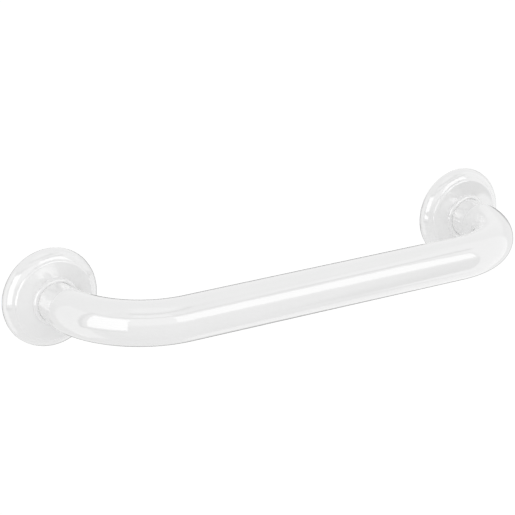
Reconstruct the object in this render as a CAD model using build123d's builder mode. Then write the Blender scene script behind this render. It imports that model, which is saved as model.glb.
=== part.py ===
"""Wall-mounted bath grab bar, in millimetres.

A steel tube, bent at both ends, carries a white plastic grip sheath. Each leg of the tube is pushed over
the spigot of a bracket that is screwed to the wall, and a grub screw from below locks it. A stepped rosette
slides down the leg to hide the bracket, and a rubber ring in its bore keeps it there.

Frame: the wall is the plane y = 0, the bar stands out of it towards -Y, X runs along the bar and +Z is up.
The origin is on the wall, midway between the two legs.
"""

import os

from build123d import *

# Bar
leg_spacing = 300.0  # between the centres of the two legs
hand_clearance = 60.0  # wall to the back of the grip
bend_radius = 53.0  # of the tube's centreline
tube_d = 25.0
tube_wall = 1.5
sheath_wall = 0.95
sheath_slip = 0.05  # radial, between the tube and its sheath
sheath_start_deg = 6.0  # how far into each bend the sheath begins
sheath_edge_round = 0.7

# Wall bracket
plate_t = 4.0
plate_room = 3.5  # radial, between the plate and the inside of the rosette
plate_edge = 0.6  # chamfer round the plate
spigot_slip = 0.1  # radial, inside the tube
spigot_short = 1.5  # the spigot ends this far before the bend
spigot_lead = 1.0  # chamfer at the spigot's tip
screw_hole_d = 5.5
screw_head_d = 10.0
screw_head_deg = 90.0
screw_edge = 1.5  # from a screw's head to the edge of the plate

# Grub screw through the leg into the spigot
lock_d = 5.0
lock_length = 8.0
lock_slip = 0.05  # radial, in the spigot's hole
lock_hole_slip = 0.2  # radial, in the tube's hole
lock_sunk = 0.4  # below the tube's surface
lock_socket = 2.5  # across the flats
lock_socket_depth = 2.8
lock_point = 1.0  # chamfer at the tip

# Rosette, from the wall to the neck
rosette_d = 61.0
rosette_wall = 2.0
cover_gap = 0.8  # between the bracket's plate and the rosette
foot_height = 1.0  # of the edge that stands on the wall
foot_undercut = 0.3
rim_width = 5.1  # from the outside to the foot of the bead
rim_round = 7.5
bead_width = 2.1
bead_rise = 1.15
bead_round = 2.4
dish_rise = 0.75
collar_width = 2.25  # from its foot to the bore
collar_rise = 2.0
collar_round = 2.2
rosette_slip = 0.1  # radial, around the tube
guide_wall = 3.0  # skirt inside the rosette that runs on the tube

# Rubber ring in the rosette's bore, square in section
seal_section = 1.6
seal_edge = 0.3  # chamfer on its four edges
seal_slip = 0.05  # on each side of the ring
seal_seat = 1.2  # wall of the skirt behind the groove

# Sizes that follow from those above
tube_r = tube_d / 2
tube_bore_r = tube_r - tube_wall
sheath_bore_r = tube_r + sheath_slip
grip_r = sheath_bore_r + sheath_wall
projection = hand_clearance + grip_r
bend_start = projection - bend_radius
half_spacing = leg_spacing / 2
half_straight = half_spacing - bend_radius

outer_r = rosette_d / 2
bore_r = tube_r + rosette_slip
bead_outer_r = outer_r - rim_width
bead_inner_r = bead_outer_r - bead_width
collar_foot_r = bore_r + collar_width
guide_r = bore_r + guide_wall
cavity_r = outer_r - rosette_wall
plate_r = cavity_r - plate_room
screw_spacing = 2 * (plate_r - screw_edge) - screw_head_d  # between the two wall screws of one bracket
spigot_r = tube_bore_r - spigot_slip
spigot_length = bend_start - spigot_short - plate_t
ceiling_h = plate_t + cover_gap
rim_centre_r = outer_r - rim_round
rim_h = foot_height + (rim_round**2 - (bead_outer_r - rim_centre_r) ** 2) ** 0.5
inner_round = rim_round - rosette_wall
inner_rim_r = rim_centre_r + (bead_outer_r - rim_centre_r) * inner_round / rim_round
inner_rim_h = foot_height + (rim_h - foot_height) * inner_round / rim_round
dish_edge_h = rim_h + bead_rise
collar_foot_h = dish_edge_h + dish_rise
collar_h = collar_foot_h + collar_rise
groove_width = seal_section + 2 * seal_slip
groove_r = tube_r + groove_width
groove_h = ceiling_h + seal_seat
seal_r = tube_r + groove_width / 2
seal_h = groove_h + groove_width / 2
lock_h = (collar_h + bend_start) / 2  # midway along the straight part of the leg that shows

os.makedirs("parts", exist_ok=True)

# Core tube: from one bracket's plate to the other, with a hole under each leg for its grub screw
with BuildPart() as core_tube:
    with BuildLine() as tube_route:
        FilletPolyline(
            (-half_spacing, -plate_t),
            (-half_spacing, -projection),
            (half_spacing, -projection),
            (half_spacing, -plate_t),
            radius=bend_radius,
        )
    with BuildSketch(Plane(origin=tube_route.line @ 0, z_dir=tube_route.line % 0)):
        Circle(tube_r)
        Circle(tube_bore_r, mode=Mode.SUBTRACT)
    sweep(path=tube_route.line)
    with BuildSketch(Plane.XY.offset(-tube_bore_r + tube_wall)):
        with Locations((-half_spacing, -lock_h), (half_spacing, -lock_h)):
            Circle(lock_d / 2 + lock_hole_slip)
    extrude(amount=-tube_r, mode=Mode.SUBTRACT)
core_tube.part.label = "core_tube"
export_step(core_tube.part, "parts/core_tube.step")

# Grip sheath: follows the tube from just inside one bend to just inside the other, its ends rounded
sheath_bend_deg = 90 - sheath_start_deg
with BuildPart() as grip_sheath:
    with BuildLine() as sheath_route:
        first_bend = CenterArc(
            (-half_straight, -bend_start),
            bend_radius,
            180 + sheath_start_deg,
            sheath_bend_deg,
        )
        grip = Line(first_bend @ 1, (half_straight, -projection))
        JernArc(grip @ 1, grip % 1, bend_radius, sheath_bend_deg)
    with BuildSketch(Plane(origin=first_bend @ 0, z_dir=first_bend % 0)):
        Circle(grip_r)
        Circle(sheath_bore_r, mode=Mode.SUBTRACT)
    sweep(path=sheath_route.line)
    sheath_ends = grip_sheath.faces().filter_by(GeomType.PLANE)
    fillet(
        [end.outer_wire().edges() for end in sheath_ends],
        radius=min(sheath_edge_round, 0.8 * sheath_wall),
    )
grip_sheath.part.label = "grip_sheath"
export_step(grip_sheath.part, "parts/grip_sheath.step")

for side, leg_x in (("left", -half_spacing), ("right", half_spacing)):
    wall = Plane(origin=(leg_x, 0, 0), x_dir=(1, 0, 0), z_dir=(0, -1, 0))
    plate_front = wall.offset(plate_t)
    turning_plane = Plane(origin=(leg_x, 0, 0), x_dir=(1, 0, 0), z_dir=(0, 0, -1))
    turning_axis = Axis((leg_x, 0, 0), (0, 1, 0))
    underside = Plane(origin=(leg_x, -lock_h, 0), x_dir=(1, 0, 0), z_dir=(0, 0, -1))

    # Wall bracket: the plate with its two countersunk holes and, in one piece with it, the spigot in the leg
    with BuildPart() as wall_bracket:
        with BuildSketch(wall):
            Circle(plate_r)
        extrude(amount=plate_t)
        chamfer(wall_bracket.faces().sort_by(Axis.Y)[0].edges(), length=plate_edge)
        with BuildSketch(plate_front):
            Circle(spigot_r)
        extrude(amount=spigot_length)
        chamfer(wall_bracket.faces().sort_by(Axis.Y)[0].edges(), length=spigot_lead)
        with Locations(plate_front):
            with GridLocations(0, screw_spacing, 1, 2):
                CounterSinkHole(
                    screw_hole_d / 2,
                    screw_head_d / 2,
                    depth=plate_t,
                    counter_sink_angle=screw_head_deg,
                )
        with BuildSketch(underside):
            Circle(lock_d / 2 + lock_slip)
        extrude(amount=tube_r, mode=Mode.SUBTRACT)
    wall_bracket.part.label = f"wall_bracket_{side}"
    export_step(wall_bracket.part, f"parts/wall_bracket_{side}.step")

    # Grub screw: just below the leg's surface, with its hexagon socket down and its point in the spigot
    with BuildPart() as lock_screw:
        with BuildSketch(underside.offset(tube_r - lock_sunk)):
            Circle(lock_d / 2)
        extrude(amount=-lock_length)
        chamfer(lock_screw.faces().sort_by(Axis.Z)[-1].edges(), length=lock_point)
        with BuildSketch(underside.offset(tube_r - lock_sunk)):
            RegularPolygon(lock_socket / 2, 6, major_radius=False)
        extrude(amount=-lock_socket_depth, mode=Mode.SUBTRACT)
    lock_screw.part.label = f"lock_screw_{side}"
    export_step(lock_screw.part, f"parts/lock_screw_{side}.step")

    # Rosette: a turned shell, drawn as radius and height above the wall. From the wall it has an undercut
    # foot, a large round rim, a bead, a shallow dish and a collar. Inside, a grooved skirt runs on the tube.
    with BuildPart() as rosette:
        with BuildSketch(turning_plane):
            with BuildLine():
                foot = Line((outer_r - foot_undercut, 0), (outer_r, foot_height))
                rim = RadiusArc(foot @ 1, (bead_outer_r, rim_h), -rim_round)
                bead = RadiusArc(rim @ 1, (bead_inner_r, dish_edge_h), -bead_round)
                dish = Line(bead @ 1, (collar_foot_r, collar_foot_h))
                collar = RadiusArc(dish @ 1, (bore_r, collar_h), -collar_round)
                inside = Polyline(
                    collar @ 1,
                    (bore_r, ceiling_h),
                    (guide_r, ceiling_h),
                    (guide_r, collar_foot_h - rosette_wall),
                    (bead_inner_r, dish_edge_h - rosette_wall),
                    (inner_rim_r, inner_rim_h),
                )
                inner_rim = RadiusArc(inside @ 1, (cavity_r, foot_height), inner_round)
                Polyline(inner_rim @ 1, (cavity_r, 0), foot @ 0)
            make_face()
            with Locations((bore_r, groove_h)):
                Rectangle(
                    groove_r - bore_r,
                    groove_width,
                    align=(Align.MIN, Align.MIN),
                    mode=Mode.SUBTRACT,
                )
        revolve(axis=turning_axis)
    rosette.part.label = f"rosette_{side}"
    export_step(rosette.part, f"parts/rosette_{side}.step")

    # Rubber ring: lies in the rosette's groove and grips the leg
    with BuildPart() as rosette_seal:
        with BuildSketch(turning_plane):
            with Locations((seal_r, seal_h)):
                seal_profile = Rectangle(seal_section, seal_section)
            chamfer(seal_profile.vertices(), length=seal_edge)
        revolve(axis=turning_axis)
    rosette_seal.part.label = f"rosette_seal_{side}"
    export_step(rosette_seal.part, f"parts/rosette_seal_{side}.step")
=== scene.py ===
# %% [markdown]
# # A white bath grab bar
#
# The object is a short grab bar for the bathroom wall: a bent tube in a glossy white grip sheath, with a
# stepped round rosette over each wall bracket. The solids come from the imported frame. This script gives
# them smooth skins, finishes, a camera and a studio.

# %% Load the frame
import math

import bmesh
import bpy
from mathutils import Matrix, Vector


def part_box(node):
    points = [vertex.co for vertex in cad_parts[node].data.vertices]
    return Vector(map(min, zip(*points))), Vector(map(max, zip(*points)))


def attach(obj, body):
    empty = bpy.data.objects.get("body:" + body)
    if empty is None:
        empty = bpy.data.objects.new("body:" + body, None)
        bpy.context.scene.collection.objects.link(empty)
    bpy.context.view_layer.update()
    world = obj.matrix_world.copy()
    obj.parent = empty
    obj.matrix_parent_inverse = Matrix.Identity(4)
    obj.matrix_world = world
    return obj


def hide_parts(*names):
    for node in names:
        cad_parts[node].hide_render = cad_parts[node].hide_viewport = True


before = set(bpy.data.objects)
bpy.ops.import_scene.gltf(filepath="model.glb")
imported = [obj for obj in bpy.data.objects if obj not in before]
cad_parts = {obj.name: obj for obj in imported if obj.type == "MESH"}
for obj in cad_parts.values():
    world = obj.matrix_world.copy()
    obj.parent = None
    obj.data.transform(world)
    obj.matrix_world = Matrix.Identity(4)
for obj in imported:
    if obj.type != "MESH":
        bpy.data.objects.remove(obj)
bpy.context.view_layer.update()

# %% [markdown]
# ## Sizes from the frame
#
# Every new skin has to lie where its solid lies, so the main sizes are read from the boxes of the solids.
# The wall is the plane y = 0, and the bar stands out of it towards -Y. Only the sizes that a box can't
# tell, such as the bend's radius, are written down here.

# %% Read the main sizes
mm = 0.001
sheath_low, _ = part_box("grip_sheath")
rosette_low, rosette_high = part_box("rosette_right")

leg_x = (rosette_low.x + rosette_high.x) / 2
rosette_radius = (rosette_high.x - rosette_low.x) / 2
tube_radius = 12.5 * mm
grip_radius = 13.5 * mm
grip_y = sheath_low.y + grip_radius
bend_radius = 53.0 * mm
bend_x = leg_x - bend_radius
bend_y = grip_y + bend_radius
print("legs at", round(leg_x / mm, 2), "mm, grip centre line at", round(grip_y / mm, 2), "mm")

# %% [markdown]
# ## Camera
#
# The picture looks at the bar from the front left and from above, through a long lens, so that the two
# rosettes differ little in size. A long lens far away is also what a product photographer would choose.

# %% Set the camera
camera_place = Vector((-605.4, -991.3, 419.4)) * mm
camera_look = Vector((0.4866, 0.8037, -0.3424))

camera_data = bpy.data.cameras.new("product_camera")
camera_data.sensor_width = 36.0
camera_data.lens = 137.0
camera = bpy.data.objects.new("product_camera", camera_data)
camera.location = camera_place
camera.rotation_mode = "QUATERNION"
camera.rotation_quaternion = camera_look.to_track_quat("-Z", "Y")
bpy.context.scene.collection.objects.link(camera)
bpy.context.scene.camera = camera
print("camera", round(camera.location.length, 2), "m from the wall's middle")

# %% [markdown]
# ## Studio
#
# The bar is white on white, and a white gloss surface is read by what it mirrors. Two large soft boxes
# stand in front of it, one to the right and one to the left: the right one draws the long bright strip
# along the grip, and the left one the bright patch on the left bend. A fill from low in front lights the
# faces of the rosettes.
#
# The lamps give the soft light and are kept out of mirrors, because their mirror images are easier to
# shape as things of their own: a white face for each box, pale and grey cards for the fainter bands, and
# dark flags behind the bar. The flags keep a thin darker line along its edges, so that the white bar
# doesn't melt into the white ground. Only mirrored rays meet these things, so what lights the bar is
# the lamps and the white surroundings.

# %% Place things around the bar
bar_middle = Vector((0, grip_y / 2, 0))


def direction(azimuth_deg, elevation_deg):
    """0 degrees is straight in front of the wall, azimuth grows towards +X and elevation upwards."""
    turn, rise = math.radians(azimuth_deg), math.radians(elevation_deg)
    reach = math.cos(rise)
    return Vector((math.sin(turn) * reach, -math.cos(turn) * reach, math.sin(rise)))


def angles(place):
    """The azimuth and elevation at which the bar's middle sees a place."""
    seen = (place - bar_middle).normalized()
    return math.degrees(math.atan2(seen.x, -seen.y)), math.degrees(math.asin(seen.z))


print("camera at azimuth and elevation", [round(angle, 1) for angle in angles(camera_place)])

# %% Hang the lamps
# azimuth and elevation in degrees; width, height and distance in metres; brightness of the lamp's face
lamps = {
    "right_soft_box": (24.0, 25.0, 1.4, 1.2, 1.8, 0.3),
    "left_soft_box": (-66.0, 34.0, 1.2, 1.6, 1.8, 0.3),
    "front_fill": (-10.0, -16.0, 1.2, 0.8, 1.6, 0.6),
}


def soft_box(name, azimuth_deg, elevation_deg, width, height, distance, level):
    data = bpy.data.lights.new(name, "AREA")
    data.shape = "RECTANGLE"
    data.size, data.size_y = width, height
    data.energy = level * math.pi * width * height
    lamp = bpy.data.objects.new(name, data)
    ray = direction(azimuth_deg, elevation_deg)
    lamp.location = bar_middle + distance * ray
    lamp.rotation_mode = "QUATERNION"
    lamp.rotation_quaternion = ray.to_track_quat("Z", "Y")
    lamp.visible_camera = False
    lamp.visible_glossy = False
    bpy.context.scene.collection.objects.link(lamp)
    print(name, round(data.energy, 1), "W")


for lamp_name, settings in lamps.items():
    soft_box(lamp_name, *settings)


# %% Prepare glowing things and the stage
def bare_material(name):
    """A material with only its output, and what is needed to fill it."""
    material = bpy.data.materials.new(name)
    material.use_nodes = True
    nodes, links = material.node_tree.nodes, material.node_tree.links
    nodes.clear()
    out = nodes.new("ShaderNodeOutputMaterial")
    return material, nodes, links, out.inputs["Surface"]


def plain_glow(name, level):
    material, nodes, links, surface = bare_material(name)
    glow = nodes.new("ShaderNodeEmission")
    glow.inputs["Strength"].default_value = level
    links.new(glow.outputs["Emission"], surface)
    return material


def graded_glow(name, attribute_name):
    """A glow whose level is read from the mesh, so that a card can fade towards its edges."""
    material, nodes, links, surface = bare_material(name)
    level = nodes.new("ShaderNodeAttribute")
    level.attribute_name = attribute_name
    glow = nodes.new("ShaderNodeEmission")
    links.new(level.outputs["Fac"], glow.inputs["Strength"])
    links.new(glow.outputs["Emission"], surface)
    return material


def store_stage(name, bm, material):
    mesh = bpy.data.meshes.new(name)
    bm.to_mesh(mesh)
    bm.free()
    mesh.materials.append(material)
    thing = bpy.data.objects.new(name, mesh)
    bpy.context.scene.collection.objects.link(thing)
    print(name, "on the stage,", len(mesh.polygons), "faces")
    return thing


def for_mirrors_only(thing):
    thing.visible_camera = False
    thing.visible_diffuse = False
    thing.visible_transmission = False
    thing.visible_shadow = False


# %% List the cards
wall_level = 0.9
# azimuths, elevations, level, and the degrees over which the upright and the level edges fade
cards = {
    "pale_overhead": ((-180, 180), (72, 95), 1.3, 0.1, 6),
    "pale_behind": ((80, 280), (16, 80), 1.05, 12, 6),
    "grey_low_front": ((-75, 60), (-65, 4), 0.75, 3, 3),
    "grey_low_right": ((35, 62), (-40, 4), 0.4, 5, 3),
    "grey_overhead": ((-60, 62), (61, 67), 0.15, 3, 2),
    "pale_front": ((-46, 3), (10, 57), 1.3, 2, 2),
    "pale_right": ((48, 98), (-45, 54), 1.25, 2, 2),
    "pale_low_right": ((64, 122), (-75, -38), 1.15, 5, 5),
    "grey_seam": ((-60, 62), (41.5, 46), 0.25, 3, 2),
    "pale_left": ((-125, -86), (-55, 38), 1.4, 3, 3),
    "grey_box_frame": ((-96, -46), (-23, 43), 0.4, 1, 1),
    "pale_box_edge": ((-91, -46), (-19, 40), 1.05, 1, 1),
    "dark_flag_behind": ((127, 172), (-55, 0), 0.3, 10, 6),
    "dark_flag_core": ((139, 172), (-15, -2), 0.03, 4, 4),
    "dark_flag_behind_left": ((164, 214), (-34, 12), 0.05, 6, 6),
}
print(len(cards), "cards around the bar, on a wall of level", wall_level)

# %% Stand the cards around the set
floor_z = -0.8
shell_radius = 2.6
shell_above_floor = 0.05


def card_share(value, limits, fade):
    """One inside the limits, zero outside, and a slope across each limit."""
    return min(1.0, max(0.0, min(value - limits[0], limits[1] - value) / fade + 0.5))


def card_shell():
    """A dome around the set with a corner at every degree, which holds the level of the cards there."""
    bm = bmesh.new()
    bmesh.ops.create_uvsphere(
        bm,
        u_segments=360,
        v_segments=180,
        radius=shell_radius,
        matrix=Matrix.Translation(bar_middle),
    )
    glow = bm.verts.layers.float.new("glow")
    for vert in bm.verts:
        vert.co.z = max(vert.co.z, floor_z + shell_above_floor)
        azimuth, elevation = angles(vert.co)
        vert[glow] = wall_level
        for azimuths, elevations, level, upright_fade, level_fade in cards.values():
            middle = sum(azimuths) / 2
            turn = (azimuth - middle + 180) % 360 - 180 + middle
            share = card_share(turn, azimuths, upright_fade)
            share *= card_share(elevation, elevations, level_fade)
            vert[glow] += share * (level - vert[glow])
    return bm


for_mirrors_only(store_stage("card_shell", card_shell(), graded_glow("card_glow", "glow")))

# %% Stretch the soft boxes' white faces
face_radius = 2.4
face_steps = 24
# azimuths, elevations and level
box_faces = {
    "right_soft_box_face": ((3, 44), (11, 37.5), 2.3),
    "left_soft_box_face": ((-86, -46), (-14, 36), 2.6),
}


def box_face(name, azimuths, elevations, level):
    """A soft box as a mirror sees it: a panel bent round the bar, with clean edges."""
    bm = bmesh.new()
    bmesh.ops.create_grid(bm, x_segments=face_steps, y_segments=face_steps, size=0.5)
    for vert in bm.verts:
        turn = azimuths[0] + (vert.co.x + 0.5) * (azimuths[1] - azimuths[0])
        rise = elevations[0] + (vert.co.y + 0.5) * (elevations[1] - elevations[0])
        vert.co = bar_middle + face_radius * direction(turn, rise)
    for_mirrors_only(store_stage(name, bm, plain_glow(name, level)))


for face_name, settings in box_faces.items():
    box_face(face_name, *settings)

# %% [markdown]
# ## Floor and surroundings
#
# The ground of the picture is plain white. The floor is a pale sheet well below the bar, so that its soft
# shadow falls outside the picture. The lamps leave the floor a little grey, and a faint glow that only
# the camera and mirrors see lifts it to white, without a trace more light on the bar. The surroundings
# are made in the same way: white to look at, and a little less than white as a light.

# %% Lay the floor
floor_half_width = 12.0
paper_colour = (0.9, 0.9, 0.9, 1)
lift_colour = (0.3, 0.3, 0.3, 1)


def ground_rays(nodes, links):
    """One where the camera, a mirror or clear glass looks, and zero for light that falls on things."""
    path = nodes.new("ShaderNodeLightPath")
    first = nodes.new("ShaderNodeMath")
    first.operation = "MAXIMUM"
    links.new(path.outputs["Is Camera Ray"], first.inputs[0])
    links.new(path.outputs["Is Glossy Ray"], first.inputs[1])
    both = nodes.new("ShaderNodeMath")
    both.operation = "MAXIMUM"
    links.new(first.outputs[0], both.inputs[0])
    links.new(path.outputs["Is Transmission Ray"], both.inputs[1])
    return both.outputs[0]


def floor_paper():
    material, nodes, links, surface = bare_material("floor_paper")
    paper = nodes.new("ShaderNodeBsdfDiffuse")
    paper.inputs["Color"].default_value = paper_colour
    lift = nodes.new("ShaderNodeEmission")
    links.new(ground_rays(nodes, links), lift.inputs["Strength"])
    lift.inputs["Color"].default_value = lift_colour
    both = nodes.new("ShaderNodeAddShader")
    links.new(paper.outputs["BSDF"], both.inputs[0])
    links.new(lift.outputs["Emission"], both.inputs[1])
    links.new(both.outputs["Shader"], surface)
    return material


floor_bm = bmesh.new()
bmesh.ops.create_grid(
    floor_bm,
    x_segments=1,
    y_segments=1,
    size=floor_half_width,
    matrix=Matrix.Translation((0, 0, floor_z)),
)
store_stage("floor", floor_bm, floor_paper())

# %% Light the surroundings
ambient_level = 0.8
seen_level = 1.0

world = bpy.data.worlds.new("white_surround")
bpy.context.scene.world = world
world.use_nodes = True
world_nodes, world_links = world.node_tree.nodes, world.node_tree.links
world_nodes.clear()
world_level = world_nodes.new("ShaderNodeMapRange")
world_links.new(ground_rays(world_nodes, world_links), world_level.inputs["Value"])
world_level.inputs["To Min"].default_value = ambient_level
world_level.inputs["To Max"].default_value = seen_level
surround = world_nodes.new("ShaderNodeBackground")
surround.inputs["Color"].default_value = (1, 1, 1, 1)
world_links.new(world_level.outputs["Result"], surround.inputs["Strength"])
world_out = world_nodes.new("ShaderNodeOutputWorld")
world_links.new(surround.outputs["Background"], world_out.inputs["Surface"])
bpy.context.scene.view_settings.view_transform = "Standard"
print("ambient level", ambient_level)

# %% [markdown]
# ## Helpers for the skins
#
# A piece is drawn in a bmesh and stored in an object that stays at the origin, so that its place is in
# its mesh, as a solid's is. Edges that turn by more than a set angle stay sharp, and the rest is shaded
# smooth. The operators hand back mixed lists of corners, edges and faces, which two small helpers sort.

# %% Store a bmesh as a piece
merge_distance = 0.002 * mm
print("corners closer than", round(merge_distance / mm, 4), "mm are merged")


def store_piece(name, bm, replaced_nodes, sharp_deg):
    bmesh.ops.remove_doubles(bm, verts=bm.verts, dist=merge_distance)
    bmesh.ops.recalc_face_normals(bm, faces=bm.faces)
    mesh = bpy.data.meshes.new(name)
    bm.to_mesh(mesh)
    bm.free()
    mesh.shade_smooth()
    mesh.set_sharp_from_angle(angle=math.radians(sharp_deg))
    piece = bpy.data.objects.new(name, mesh)
    bpy.context.scene.collection.objects.link(piece)
    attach(piece, "root")
    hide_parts(*replaced_nodes)
    print(name, len(mesh.polygons), "faces")
    return piece


# %% Sort and round what the operators make
def edges_in(geom):
    return [part for part in geom if isinstance(part, bmesh.types.BMEdge)]


def verts_in(geom):
    return [part for part in geom if isinstance(part, bmesh.types.BMVert)]


def round_off(bm, geom, affect, radius, steps):
    bmesh.ops.bevel(
        bm,
        geom=geom,
        offset=radius,
        offset_type="OFFSET",
        affect=affect,
        segments=steps,
        profile=0.5,
        material=-1,
    )
    print("rounded", len(geom), affect.lower(), "by", round(radius / mm, 2), "mm")


# %% [markdown]
# ## Grip sheath
#
# The sheath is a thin plastic tube pulled over the steel tube. It begins a little way into one bend and
# ends a little way into the other. It could be a curve with a round section, but then its ends would have
# no wall. So two circles, its outside and its bore, are spun round the first bend, extruded along the
# grip and spun round the second bend, and the open ends are bridged and rounded.

# %% Spin and extrude circles
around_steps = 96
bend_steps = 60
print("bends of", bend_steps, "steps with", around_steps, "corners around")


def circle_edges(bm, radius, place):
    made = bmesh.ops.create_circle(bm, radius=radius, segments=around_steps, matrix=place)
    return list({edge for vert in made["verts"] for edge in vert.link_edges})


def spin_bend(bm, edges, centre_x, angle):
    made = bmesh.ops.spin(
        bm,
        geom=edges,
        cent=(centre_x, bend_y, 0),
        axis=(0, 0, 1),
        angle=angle,
        steps=bend_steps,
    )
    return edges_in(made["geom_last"])


def extrude_along(bm, edges, step):
    made = bmesh.ops.extrude_edge_only(bm, edges=edges)["geom"]
    bmesh.ops.translate(bm, verts=verts_in(made), vec=step)
    return edges_in(made)


# %% Make the sheath
quarter_turn = math.radians(90)
sheath_start = math.radians(6.0)
sheath_bore_radius = tube_radius + 0.05 * mm
sheath_edge_round = 0.7 * mm
sheath_edge_steps = 5
sheath_sharp_deg = 30.0


def make_sheath():
    bm = bmesh.new()
    bend_centre = Vector((-bend_x, bend_y, 0))
    start = Matrix.Translation(bend_centre) @ Matrix.Rotation(sheath_start, 4, "Z")
    on_bend = Matrix.Translation((-bend_radius, 0, 0)) @ Matrix.Rotation(quarter_turn, 4, "X")
    skins = [circle_edges(bm, radius, start @ on_bend) for radius in (grip_radius, sheath_bore_radius)]
    ends = []
    for edges in skins:
        bent = spin_bend(bm, edges, -bend_x, quarter_turn - sheath_start)
        straight = extrude_along(bm, bent, (2 * bend_x, 0, 0))
        last = spin_bend(bm, straight, bend_x, quarter_turn - sheath_start)
        ends.append((edges, last))
    (outer_first, outer_last), (bore_first, bore_last) = ends
    bmesh.ops.bridge_loops(bm, edges=outer_first + bore_first)
    bmesh.ops.bridge_loops(bm, edges=outer_last + bore_last)
    round_off(bm, outer_first + outer_last, "EDGES", sheath_edge_round, sheath_edge_steps)
    return store_piece("grip", bm, ["grip_sheath"], sheath_sharp_deg)


grip = make_sheath()

# %% [markdown]
# ## Rosettes
#
# A rosette is turned: every cut through the leg's axis shows the same profile. So the profile is drawn
# once as a line of edges, with straight runs extruded from a point and the arcs spun from one, and then
# the whole line is spun round the leg. The turner's tool leaves no knife-sharp creases, so two creases of
# the profile get a small round first. The bore is a hair narrower than the solid's, which leaves the thin
# line between collar and neck that the picture shows.

# %% Write down the rosette's sizes
foot_height = 1.0 * mm
foot_undercut = 0.3 * mm
rim_width = 5.1 * mm
rim_round = 7.5 * mm
bead_width = 2.1 * mm
bead_rise = 1.15 * mm
bead_round = 2.4 * mm
dish_rise = 0.75 * mm
collar_width = 2.31 * mm
collar_rise = 2.0 * mm
collar_round = 2.2 * mm
rosette_bore_radius = tube_radius + 0.04 * mm
rosette_wall = 2.0 * mm
ceiling_height = 4.8 * mm
guide_radius = rosette_bore_radius + 3.06 * mm
crease_round = 0.22 * mm
print("rosette of", round(2 * rosette_radius / mm, 2), "mm")
print("rosette bore of", round(2 * rosette_bore_radius / mm, 2), "mm")


# %% Draw lines and arcs
def line_to(bm, start, radius, height):
    made = bmesh.ops.extrude_vert_indiv(bm, verts=[start])
    made["verts"][0].co = Vector((radius, -height, 0))
    return made["verts"][0]


def arc_to(bm, start, radius, height, rounding, steps):
    """Spin a point round to another one; the arc bulges outwards, or inwards for a negative rounding."""
    last = Vector((radius, -height, 0))
    chord = last - start.co
    lift = math.copysign(math.sqrt(rounding**2 - chord.length_squared / 4), rounding)
    centre = (start.co + last) / 2 + lift * Vector((chord.y, -chord.x, 0)).normalized()
    angle = -2 * math.asin(chord.length / 2 / rounding)
    made = bmesh.ops.spin(bm, geom=[start], cent=centre, axis=(0, 0, 1), angle=angle, steps=steps)
    return verts_in(made["geom_last"])[0]


# %% Draw the rosette's profile
rim_steps = 28
inner_rim_steps = 16
bead_steps = 12
collar_steps = 16
crease_steps = 4


def rosette_profile(bm):
    bead_outer = rosette_radius - rim_width
    bead_inner = bead_outer - bead_width
    collar_foot = rosette_bore_radius + collar_width
    rim_centre = rosette_radius - rim_round
    rim_height = foot_height + math.sqrt(rim_round**2 - (bead_outer - rim_centre) ** 2)
    dish_edge_height = rim_height + bead_rise
    collar_foot_height = dish_edge_height + dish_rise
    collar_height = collar_foot_height + collar_rise
    inner_round = rim_round - rosette_wall
    inner_share = inner_round / rim_round
    cavity_radius = rosette_radius - rosette_wall

    first = bm.verts.new((rosette_radius - foot_undercut, 0, 0))
    foot_top = line_to(bm, first, rosette_radius, foot_height)
    bead_foot = arc_to(bm, foot_top, bead_outer, rim_height, rim_round, rim_steps)
    dish_edge = arc_to(bm, bead_foot, bead_inner, dish_edge_height, bead_round, bead_steps)
    dish_end = line_to(bm, dish_edge, collar_foot, collar_foot_height)
    inside = arc_to(bm, dish_end, rosette_bore_radius, collar_height, collar_round, collar_steps)
    inside = line_to(bm, inside, rosette_bore_radius, ceiling_height)
    inside = line_to(bm, inside, guide_radius, ceiling_height)
    inside = line_to(bm, inside, guide_radius, collar_foot_height - rosette_wall)
    inside = line_to(bm, inside, bead_inner, dish_edge_height - rosette_wall)
    inside = line_to(
        bm,
        inside,
        rim_centre + (bead_outer - rim_centre) * inner_share,
        foot_height + (rim_height - foot_height) * inner_share,
    )
    inside = arc_to(bm, inside, cavity_radius, foot_height, -inner_round, inner_rim_steps)
    inside = line_to(bm, inside, cavity_radius, 0)
    bm.edges.new((inside, first))
    for crease in (bead_foot, dish_end):
        round_off(bm, [crease], "VERTICES", crease_round, crease_steps)
    print("profile of", len(bm.verts), "points")


# %% Spin a rosette round each leg
rosette_steps = 144
rosette_sharp_deg = 40.0


def make_rosette(side, x):
    bm = bmesh.new()
    rosette_profile(bm)
    bmesh.ops.spin(
        bm,
        geom=bm.verts[:] + bm.edges[:],
        cent=(0, 0, 0),
        axis=(0, 1, 0),
        angle=math.radians(360),
        steps=rosette_steps,
        use_merge=True,
    )
    bmesh.ops.translate(bm, verts=bm.verts, vec=(x, 0, 0))
    return store_piece(
        f"{side}_rosette", bm, [f"rosette_{side}"], rosette_sharp_deg
    )


rosettes = [make_rosette("left", -leg_x), make_rosette("right", leg_x)]

# %% [markdown]
# ## White gloss finish
#
# All that shows is the same clean white, in three finishes. A clear coat gives the sharp mirror images,
# and the white below it the body colour. The sheath is moulded plastic. The rosettes carry a denser
# lacquer, whose higher index mirrors more of the set, and the white of the tube has some of the sheen of
# the steel below it. A slight unevenness of the coat, as any sprayed or moulded gloss has, keeps the
# mirror images from looking drawn with a ruler. It is a shader group, because all three finishes use it.


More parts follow.
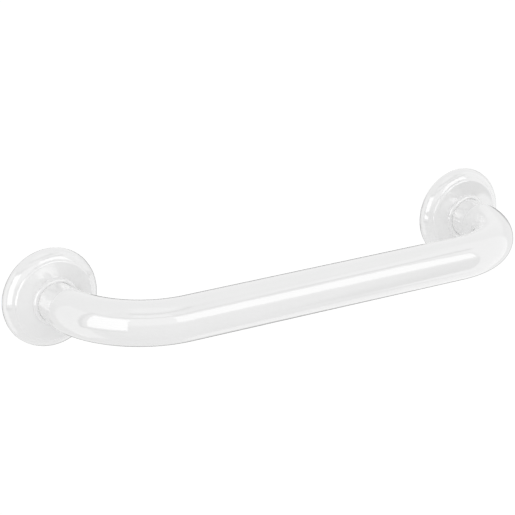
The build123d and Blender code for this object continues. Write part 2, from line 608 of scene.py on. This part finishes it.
# %% Prepare shader groups
def open_group(name, inputs, outputs):
    """A new shader group with the named sockets. Colours are told by their name, the rest are numbers."""
    group = bpy.data.node_groups.new(name, "ShaderNodeTree")
    for in_out, socket_names in (("INPUT", inputs), ("OUTPUT", outputs)):
        for socket_name in socket_names:
            socket_type = "NodeSocketColor" if socket_name == "Colour" else "NodeSocketFloat"
            group.interface.new_socket(socket_name, in_out=in_out, socket_type=socket_type)
    print(name, "takes", ", ".join(inputs), "and gives", ", ".join(outputs))
    given = group.nodes.new("NodeGroupInput").outputs
    result = group.nodes.new("NodeGroupOutput").inputs
    return group, given, result


def sum_up(tree, operation, first, second=None):
    node = tree.nodes.new("ShaderNodeMath")
    node.operation = operation
    for socket, value in zip(node.inputs, (first, second)):
        if isinstance(value, float):
            socket.default_value = value
        elif value is not None:
            tree.links.new(value, socket)
    return node.outputs[0]


def spread(tree, value, low, high, from_low=0.0, from_high=1.0):
    """Stretch a value between two limits over the range from low to high."""
    node = tree.nodes.new("ShaderNodeMapRange")
    tree.links.new(value, node.inputs["Value"])
    node.inputs["From Min"].default_value = from_low
    node.inputs["From Max"].default_value = from_high
    node.inputs["To Min"].default_value = low
    node.inputs["To Max"].default_value = high
    return node.outputs["Result"]


def scaled_colour(tree, colour, factor):
    node = tree.nodes.new("ShaderNodeVectorMath")
    node.operation = "SCALE"
    tree.links.new(colour, node.inputs[0])
    tree.links.new(factor, node.inputs["Scale"])
    return node.outputs["Vector"]


# %% Group the unevenness of a gloss coat
clouds_per_metre = 38.0


def gloss_unevenness():
    """A shader group: small waves in a gloss coat, and faint cloudiness in its colour and gloss."""
    group, given, result = open_group(
        "gloss_unevenness",
        inputs=("Colour", "Wave Size", "Roughness"),
        outputs=("Colour", "Roughness", "Waves"),
    )
    place = group.nodes.new("ShaderNodeTexCoord")

    waves = group.nodes.new("ShaderNodeTexNoise")
    waves.inputs["Detail"].default_value = 2.0
    group.links.new(place.outputs["Object"], waves.inputs["Vector"])
    group.links.new(given["Wave Size"], waves.inputs["Scale"])
    group.links.new(waves.outputs["Fac"], result["Waves"])

    clouds = group.nodes.new("ShaderNodeTexNoise")
    clouds.inputs["Scale"].default_value = clouds_per_metre
    clouds.inputs["Detail"].default_value = 3.0
    group.links.new(place.outputs["Object"], clouds.inputs["Vector"])
    tint = spread(group, clouds.outputs["Fac"], 0.985, 1.015)
    group.links.new(scaled_colour(group, given["Colour"], tint), result["Colour"])
    dull = spread(group, clouds.outputs["Fac"], 0.8, 1.2)
    group.links.new(sum_up(group, "MULTIPLY", given["Roughness"], dull), result["Roughness"])
    return group


unevenness = gloss_unevenness()
print(unevenness.name, "has", len(unevenness.nodes), "nodes")


# %% Build a finish on a shader group
def grouped_finish(name, group, inputs, height, height_scale):
    """A material whose colour, roughness and fine relief come from a shader group."""
    material = bpy.data.materials.new(name)
    material.use_nodes = True
    nodes, links = material.node_tree.nodes, material.node_tree.links
    skin = nodes["Principled BSDF"]
    source = nodes.new("ShaderNodeGroup")
    source.node_tree = group
    for socket_name, value in inputs.items():
        source.inputs[socket_name].default_value = value
    links.new(source.outputs["Colour"], skin.inputs["Base Color"])
    links.new(source.outputs["Roughness"], skin.inputs["Roughness"])
    bump = nodes.new("ShaderNodeBump")
    bump.inputs["Strength"].default_value = 1.0
    bump.inputs["Distance"].default_value = height_scale
    links.new(source.outputs[height], bump.inputs["Height"])
    links.new(bump.outputs["Normal"], skin.inputs["Normal"])
    print(name, "built on", group.name)
    return material, skin


# %% Mix the white gloss
white = (0.93, 0.93, 0.93, 1)
waves_per_metre = 220.0
wave_height = 0.0008 * mm
body_ior = 1.5
coat_roughness = 0.012


def white_gloss(name, roughness, coat_ior, metallic):
    inputs = {"Colour": white, "Roughness": roughness, "Wave Size": waves_per_metre}
    material, skin = grouped_finish(name, unevenness, inputs, "Waves", wave_height)
    skin.inputs["IOR"].default_value = body_ior
    skin.inputs["Coat Weight"].default_value = 1.0
    skin.inputs["Coat Roughness"].default_value = coat_roughness
    skin.inputs["Coat IOR"].default_value = coat_ior
    skin.inputs["Metallic"].default_value = metallic
    return material


sheath_gloss = white_gloss("sheath_white_gloss", roughness=0.05, coat_ior=1.6, metallic=0.0)
rosette_gloss = white_gloss("rosette_white_gloss", roughness=0.06, coat_ior=1.8, metallic=0.0)
tube_gloss = white_gloss("tube_white_gloss", roughness=0.05, coat_ior=1.6, metallic=0.3)


# %% Finish the grip, the rosettes and the tube
def refinish(node, material):
    """Give a solid that stays in view its own finish."""
    node.data.materials.clear()
    node.data.materials.append(material)


grip.data.materials.append(sheath_gloss)
for rosette in rosettes:
    rosette.data.materials.append(rosette_gloss)
refinish(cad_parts["core_tube"], tube_gloss)
print("white gloss on", 2 + len(rosettes), "pieces")

# %% [markdown]
# ## Turned steel and rubber
#
# The brackets and grub screws are turned from steel, and a lathe leaves fine rings round the axis. The
# rings are noise in one direction only: out along the radius on a flat face, and along the leg on a
# spigot. One measure serves both, the distance from the leg's axis less the distance from the wall. The
# seal is black rubber, dull and a little cloudy.

# %% Group the turning marks
noise_low, noise_high = 0.3, 0.7


def turning_marks():
    """A shader group: the rings that a lathe leaves round a leg's axis."""
    group, given, result = open_group(
        "turning_marks",
        inputs=("Colour", "Rings Per Metre", "Roughness"),
        outputs=("Colour", "Roughness", "Marks"),
    )
    place = group.nodes.new("ShaderNodeTexCoord")
    along = group.nodes.new("ShaderNodeSeparateXYZ")
    group.links.new(place.outputs["Object"], along.inputs[0])
    across = sum_up(group, "SUBTRACT", sum_up(group, "ABSOLUTE", along.outputs["X"]), leg_x)
    across_square = sum_up(group, "POWER", across, 2.0)
    upright_square = sum_up(group, "POWER", along.outputs["Z"], 2.0)
    radius = sum_up(group, "SQRT", sum_up(group, "ADD", across_square, upright_square))
    measure = sum_up(group, "ADD", radius, along.outputs["Y"])

    rings = group.nodes.new("ShaderNodeTexNoise")
    rings.noise_dimensions = "1D"
    rings.inputs["Detail"].default_value = 2.0
    ring_count = sum_up(group, "MULTIPLY", measure, given["Rings Per Metre"])
    group.links.new(ring_count, rings.inputs["W"])
    group.links.new(rings.outputs["Fac"], result["Marks"])
    tint = spread(group, rings.outputs["Fac"], 0.88, 1.08, noise_low, noise_high)
    group.links.new(scaled_colour(group, given["Colour"], tint), result["Colour"])
    dull = spread(group, rings.outputs["Fac"], 0.8, 1.25, noise_low, noise_high)
    group.links.new(sum_up(group, "MULTIPLY", given["Roughness"], dull), result["Roughness"])
    return group


marks = turning_marks()
print(marks.name, "has", len(marks.nodes), "nodes")

# %% Mix the turned steel
bracket_grey = (0.62, 0.62, 0.61, 1)
screw_grey = (0.5, 0.5, 0.49, 1)


def turned_steel(name, colour, roughness, rings_per_metre, ring_depth):
    inputs = {"Colour": colour, "Roughness": roughness, "Rings Per Metre": rings_per_metre}
    material, skin = grouped_finish(name, marks, inputs, "Marks", ring_depth)
    skin.inputs["Metallic"].default_value = 1.0
    return material


bracket_steel = turned_steel(
    "bracket_turned_steel", bracket_grey, roughness=0.3, rings_per_metre=2600.0, ring_depth=0.01 * mm
)
screw_steel = turned_steel(
    "screw_turned_steel", screw_grey, roughness=0.36, rings_per_metre=3600.0, ring_depth=0.006 * mm
)

# %% Mix the rubber
bloom_per_metre = 400.0
rubber_dark = (0.03, 0.03, 0.03, 1)
rubber_bloom = (0.06, 0.06, 0.058, 1)


def seal_rubber():
    material = bpy.data.materials.new("seal_black_rubber")
    material.use_nodes = True
    nodes, links = material.node_tree.nodes, material.node_tree.links
    skin = nodes["Principled BSDF"]
    place = nodes.new("ShaderNodeTexCoord")
    bloom = nodes.new("ShaderNodeTexNoise")
    bloom.inputs["Scale"].default_value = bloom_per_metre
    bloom.inputs["Detail"].default_value = 4.0
    links.new(place.outputs["Object"], bloom.inputs["Vector"])
    shade = nodes.new("ShaderNodeValToRGB")
    shade.color_ramp.elements[0].color = rubber_dark
    shade.color_ramp.elements[1].color = rubber_bloom
    links.new(bloom.outputs["Fac"], shade.inputs["Fac"])
    links.new(shade.outputs["Color"], skin.inputs["Base Color"])
    links.new(spread(material.node_tree, bloom.outputs["Fac"], 0.6, 0.85), skin.inputs["Roughness"])
    return material


rubber = seal_rubber()
print(rubber.name, "has", len(rubber.node_tree.nodes), "nodes")

# %% Finish the hidden pieces
for side in ("left", "right"):
    refinish(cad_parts[f"wall_bracket_{side}"], bracket_steel)
    refinish(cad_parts[f"lock_screw_{side}"], screw_steel)
    refinish(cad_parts[f"rosette_seal_{side}"], rubber)
print("finished", len(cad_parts), "solids of the frame")
